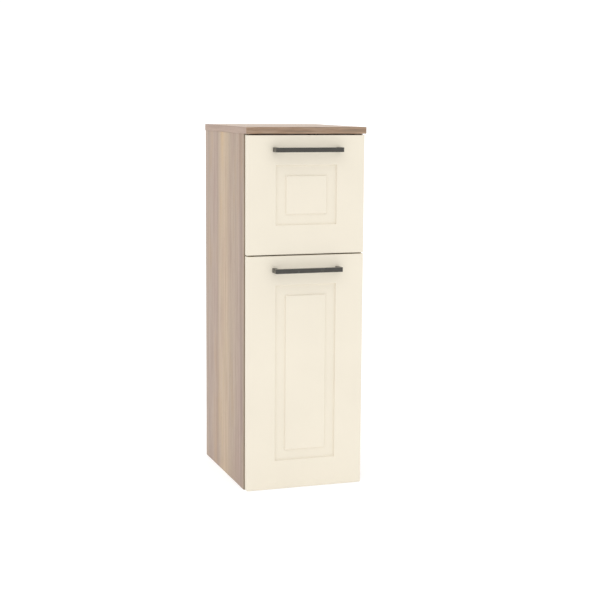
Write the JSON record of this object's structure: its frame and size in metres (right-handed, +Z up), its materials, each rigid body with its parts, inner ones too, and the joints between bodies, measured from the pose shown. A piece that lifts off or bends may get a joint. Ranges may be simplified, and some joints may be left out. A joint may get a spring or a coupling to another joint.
{
  "type": "highboard",
  "caption": "Narrow highboard: oak-decor carcass, cream routed drawer front over a matching concealed-hinged door, dark square bow handles and hangers for a wall.",
  "frame": {"origin": "below the middle of the whole box, on the plane of the flat underside", "axes": "+Z up, -Y out of the fronts, +X towards the door's hinges"},
  "size_m": [0.303, 0.406, 0.882],
  "materials": {
    "oak_decor": "matt grey-brown oak decor on chipboard",
    "cream_front": "matt cream foil on routed fibreboard",
    "hardboard": "thin smooth hardboard, light lacquer on the inner face",
    "drawer_board": "light melamine-faced board",
    "beech": "raw turned beech",
    "anthracite": "anthracite satin coating on die-cast metal",
    "runner_coat": "cream-white baked coating on rolled steel",
    "nickel": "nickel-plated stamped steel",
    "zinc": "zinc-plated steel",
    "die_cast": "bare zinc die-casting",
    "nylon": "white nylon",
    "hanger_plastic": "white moulded plastic",
    "bumper": "soft translucent pad"
  },
  "bodies": {
    "carcass": {"adjustable_shelf": "oak_decor", "back_panel": "hardboard", "bottom_panel": "oak_decor", "cabinet_runner_left": "runner_coat", "cabinet_runner_right": "runner_coat", "cabinet_runner_screws": "zinc", "cam_bolts": "zinc", "cam_housings": "die_cast", "divider_shelf": "oak_decor", "dowels": "beech", "front_roller_axles": "zinc", "hanger_adjusters": "zinc", "hanger_hook_left": "zinc", "hanger_hook_right": "zinc", "hanger_housing_left": "hanger_plastic", "hanger_housing_right": "hanger_plastic", "hinge_arm_lower": "nickel", "hinge_arm_pins": "nickel", "hinge_arm_screws": "zinc", "hinge_arm_upper": "nickel", "hinge_plate_lower": "nickel", "hinge_plate_screws": "zinc", "hinge_plate_upper": "nickel", "shelf_pins": "zinc", "side_panel_left": "oak_decor", "side_panel_right": "oak_decor", "top_panel": "oak_decor", "wall_plate_left": "zinc", "wall_plate_right": "zinc"},
    "door": {"door_bumpers": "bumper", "door_handle": "anthracite", "door_handle_screws": "zinc", "door_panel": "cream_front", "hinge_cup_lower": "nickel", "hinge_cup_pins": "nickel", "hinge_cup_screws": "zinc", "hinge_cup_upper": "nickel"},
    "drawer": {"drawer_back": "drawer_board", "drawer_bottom": "hardboard", "drawer_box_screws": "zinc", "drawer_bumpers": "bumper", "drawer_front": "cream_front", "drawer_front_screws": "zinc", "drawer_handle": "anthracite", "drawer_handle_screws": "zinc", "drawer_inner_front": "drawer_board", "drawer_runner_left": "runner_coat", "drawer_runner_right": "runner_coat", "drawer_runner_screws": "zinc", "drawer_side_left": "drawer_board", "drawer_side_right": "drawer_board", "rear_roller_axles": "zinc"},
    "front_rollers": {"front_roller_left": "nylon", "front_roller_right": "nylon"},
    "guide_links": {"hinge_guide_link_lower": "nickel", "hinge_guide_link_upper": "nickel"},
    "outer_links": {"hinge_outer_link_lower": "nickel", "hinge_outer_link_upper": "nickel"},
    "rear_rollers": {"rear_roller_left": "nylon", "rear_roller_right": "nylon"}
  },
  "joints": [
    {"name": "drawer_slide", "type": "slide", "parent": "carcass", "child": "drawer", "axis": [0, -1, 0], "range_m": [0, 0.22]},
    {"name": "front_roller_spin", "type": "hinge", "parent": "carcass", "child": "front_rollers", "pos_m": [0, -0.136, 0.62555], "axis": [1, 0, 0], "range_deg": [0, 1150]},
    {"name": "rear_roller_spin", "type": "hinge", "parent": "drawer", "child": "rear_rollers", "pos_m": [0, 0.132, 0.62265], "axis": [1, 0, 0], "range_deg": [0, 1110]},
    {"name": "outer_link_swing", "type": "hinge", "parent": "carcass", "child": "outer_links", "pos_m": [0.1087, -0.1381, 0.2885], "axis": [0, 0, 1], "range_deg": [-35, 0]},
    {"name": "door_swing", "type": "hinge", "parent": "outer_links", "child": "door", "pos_m": [0.1354, -0.1546, 0.2885], "axis": [0, 0, 1], "range_deg": [0, 129.7]},
    {"name": "guide_link_swing", "type": "hinge", "parent": "carcass", "child": "guide_links", "pos_m": [0.103, -0.1496, 0.2885], "axis": [0, 0, 1], "range_deg": [-33, 0]}
  ],
  "couplings": [
    {"joint": "front_roller_spin", "follows": "drawer_slide", "rad_per_m": 90.909},
    {"joint": "rear_roller_spin", "follows": "drawer_slide", "rad_per_m": 87.719},
    {"joint": "outer_link_swing", "follows": "door_swing", "ratio": -0.26754},
    {"joint": "guide_link_swing", "follows": "door_swing", "ratio": -0.25135}
  ]
}
